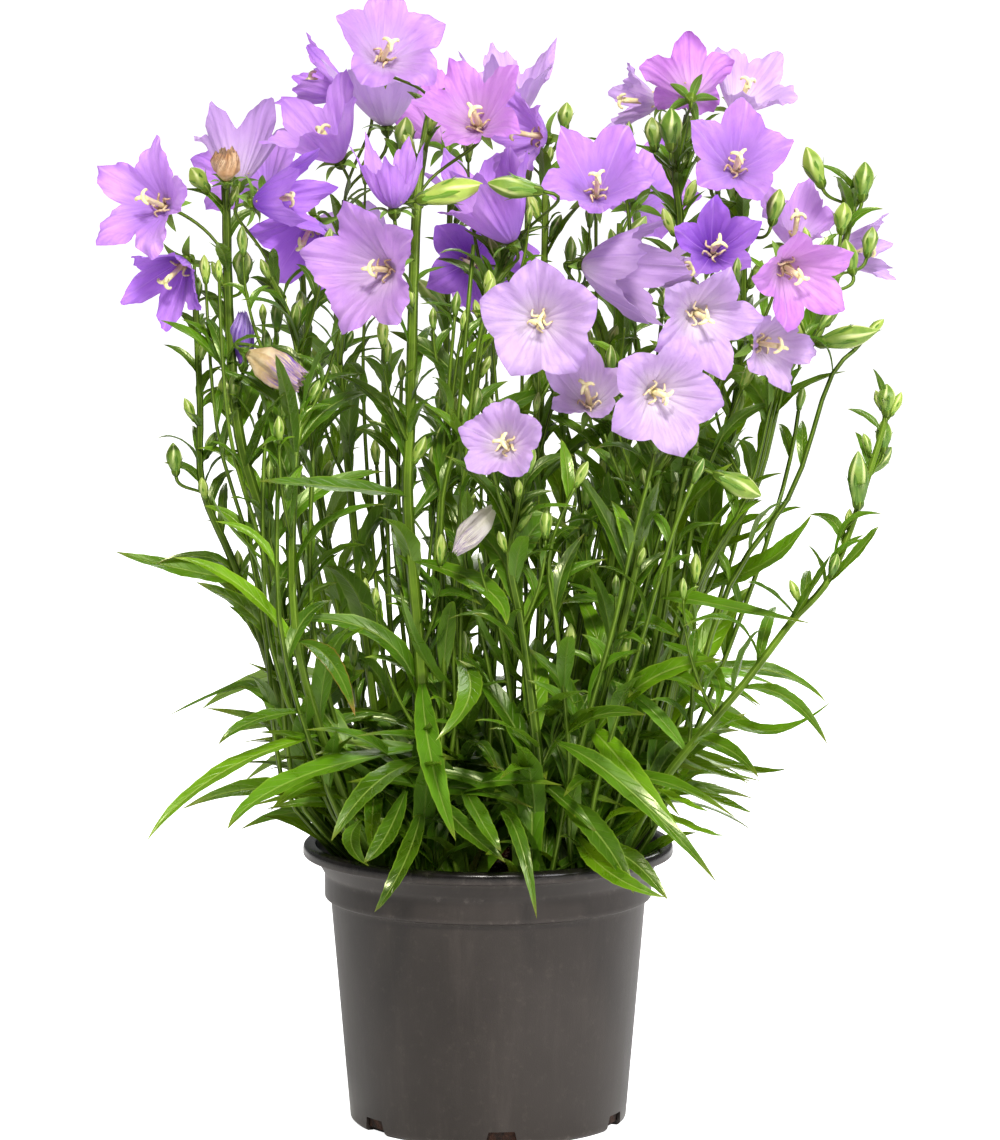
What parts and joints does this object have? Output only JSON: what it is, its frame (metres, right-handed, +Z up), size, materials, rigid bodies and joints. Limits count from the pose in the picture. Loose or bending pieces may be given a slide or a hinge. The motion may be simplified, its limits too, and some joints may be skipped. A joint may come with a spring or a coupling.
{
  "type": "potted bellflower",
  "caption": "Flowering peach-leaved bellflower with upright leafy stems and violet bell flowers, growing in a round tapered nursery pot filled with potting mix.",
  "frame": {"origin": "the middle of the pot's flat underside", "axes": "+Z up along the stems, the tallest way; -Y towards the side that the picture shows; +X to its right"},
  "size_m": [0.3675, 0.2781, 0.5246],
  "materials": {
    "pot": "satin",
    "potting_mix": "matte",
    "foliage": "satin",
    "petal_pale": "matte",
    "petal_violet": "matte",
    "petal_deep": "matte",
    "petal_pink": "matte",
    "petal_dry": "matte"
  },
  "bodies": {
    "root": {"pot": "pot", "potting_mix": "potting_mix", "leafy_stem_left": "foliage", "leafy_stem_left_front": "foliage", "leafy_stem_left_back": "foliage", "leafy_stem_middle_left": "foliage", "leafy_stem_middle": "foliage", "leafy_stem_middle_right": "foliage", "leafy_stem_front": "foliage", "leafy_stem_right_front": "foliage", "leafy_stem_right": "foliage", "leafy_stem_right_back": "foliage", "leafy_stem_back_left": "foliage", "leafy_stem_back_right": "foliage", "bloom_01": "petal_pale", "bloom_02": "petal_violet", "bloom_03": "petal_violet", "bloom_04": "petal_violet", "bloom_05": "petal_violet", "bloom_06": "petal_pale", "bloom_07": "petal_violet", "bloom_08": "petal_deep", "bloom_09": "petal_violet", "bloom_10": "petal_deep", "bloom_11": "petal_pale", "bloom_12": "petal_violet", "bloom_13": "petal_pink", "bloom_14": "petal_pale", "bloom_15": "petal_violet", "bloom_16": "petal_violet", "bloom_17": "petal_deep", "bloom_18": "petal_violet", "bloom_19": "petal_violet", "bloom_20": "petal_pale", "bloom_21": "petal_pink", "bloom_22": "petal_violet", "bloom_23": "petal_pale", "bloom_24": "petal_pale", "bloom_25": "petal_pink", "bloom_26": "petal_violet", "bloom_27": "petal_pale", "bloom_28": "petal_violet", "bloom_29": "petal_deep", "bloom_30": "petal_pink", "bloom_31": "petal_pink", "bloom_32": "petal_pale", "bloom_33": "petal_pale", "bloom_34": "petal_violet", "bloom_35": "petal_violet", "bloom_36": "petal_pale", "bloom_37": "petal_pink", "bloom_38": "petal_violet", "bloom_39": "petal_violet", "spent_bloom_furled": "petal_deep", "spent_bloom_withered": "petal_dry", "spent_bloom_closing": "petal_pale", "spent_bloom_dried": "petal_dry"}
  },
  "joints": []
}
